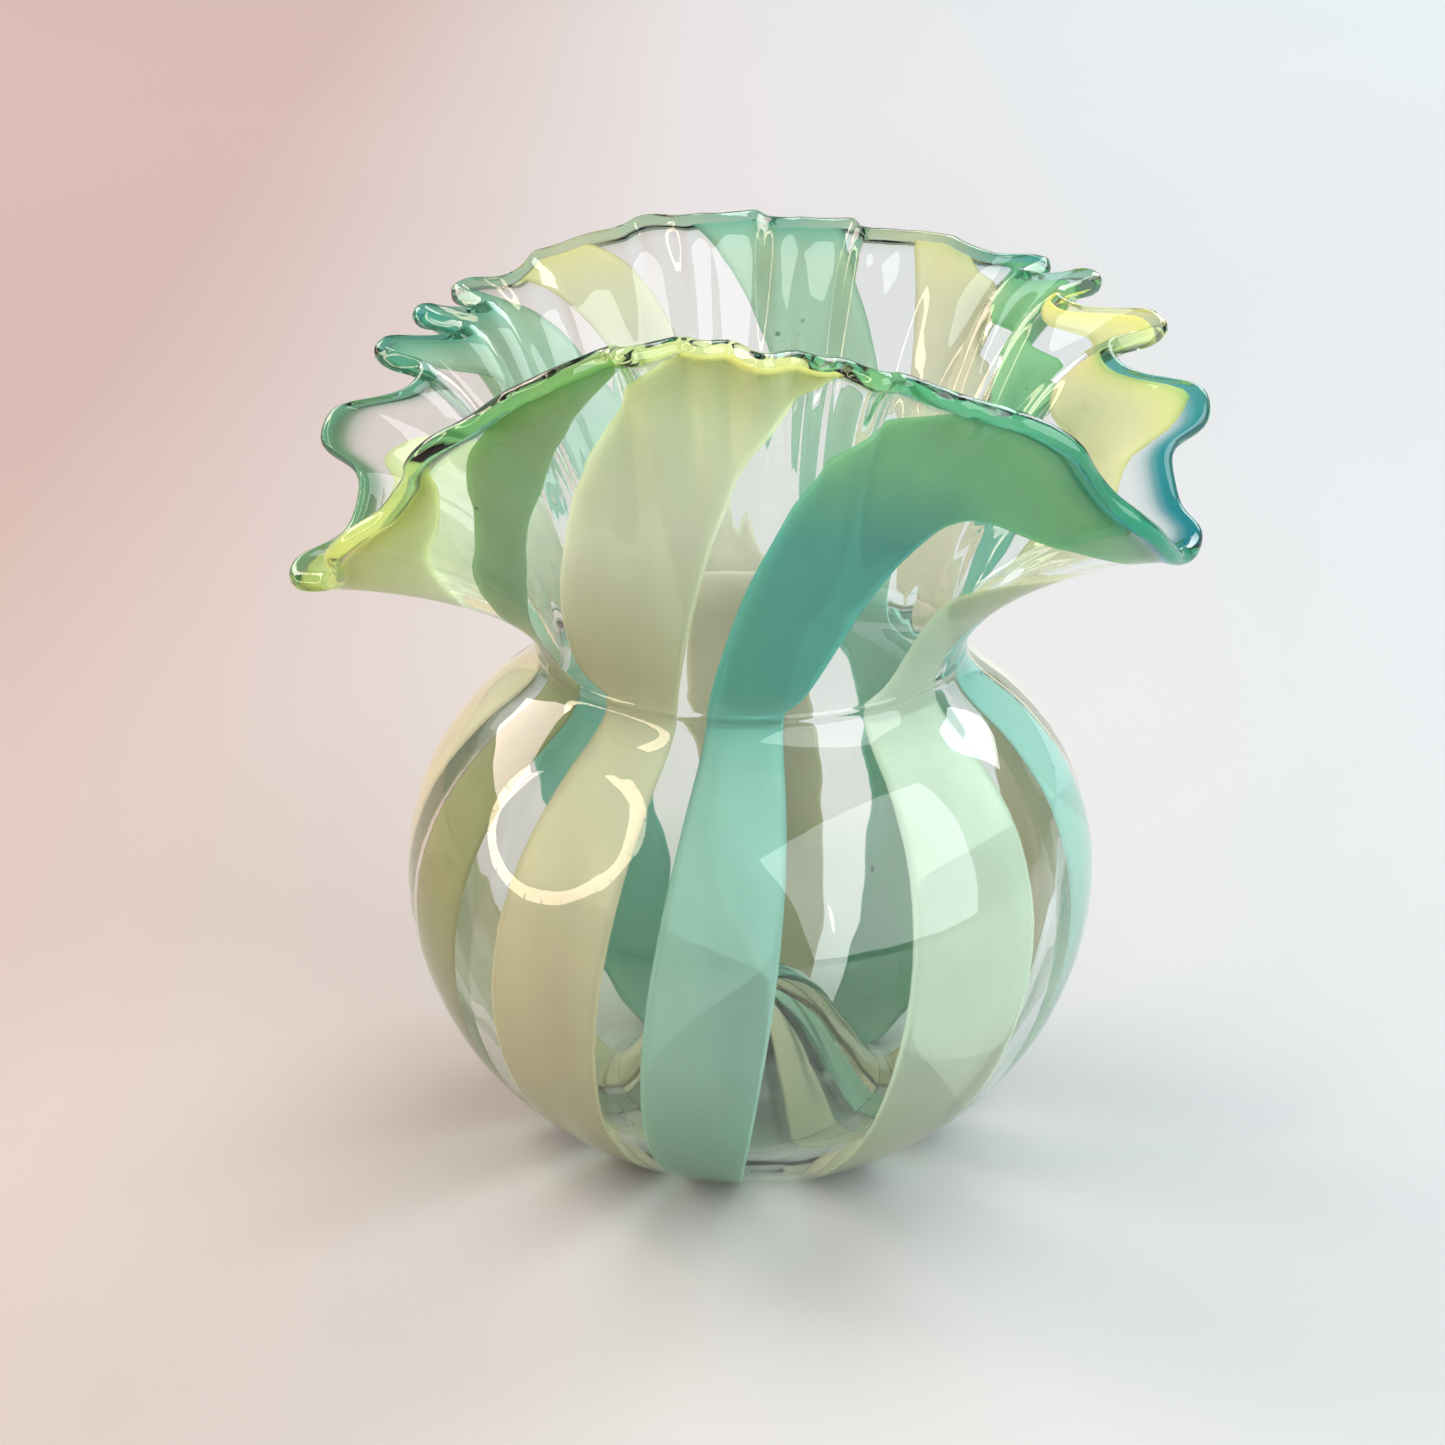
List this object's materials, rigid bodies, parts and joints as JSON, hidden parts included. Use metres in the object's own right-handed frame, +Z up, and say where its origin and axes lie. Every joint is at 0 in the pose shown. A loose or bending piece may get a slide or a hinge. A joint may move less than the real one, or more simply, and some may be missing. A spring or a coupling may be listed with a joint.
{
  "type": "vase",
  "caption": "Squat blown glass vase with a folded, flared mouth and turquoise and cream glass bands laid into a clear wall.",
  "frame": {"origin": "centre of the foot ring on the floor", "axes": "+Z up through the mouth, +Y towards the back lip, +X towards the right corner of the mouth"},
  "size_m": [0.1564, 0.1229, 0.1616],
  "materials": {
    "clear_glass": "gloss",
    "turquoise_glass": "gloss",
    "cream_glass": "gloss"
  },
  "bodies": {
    "root": {"clear_glass_body": "clear_glass", "band_1_cream": "cream_glass", "band_2_turquoise": "turquoise_glass", "band_3_cream": "cream_glass", "band_4_turquoise": "turquoise_glass", "band_5_cream": "cream_glass", "band_6_turquoise": "turquoise_glass", "band_7_cream": "cream_glass", "band_8_turquoise": "turquoise_glass", "band_9_cream": "cream_glass", "band_10_turquoise": "turquoise_glass"}
  },
  "joints": []
}
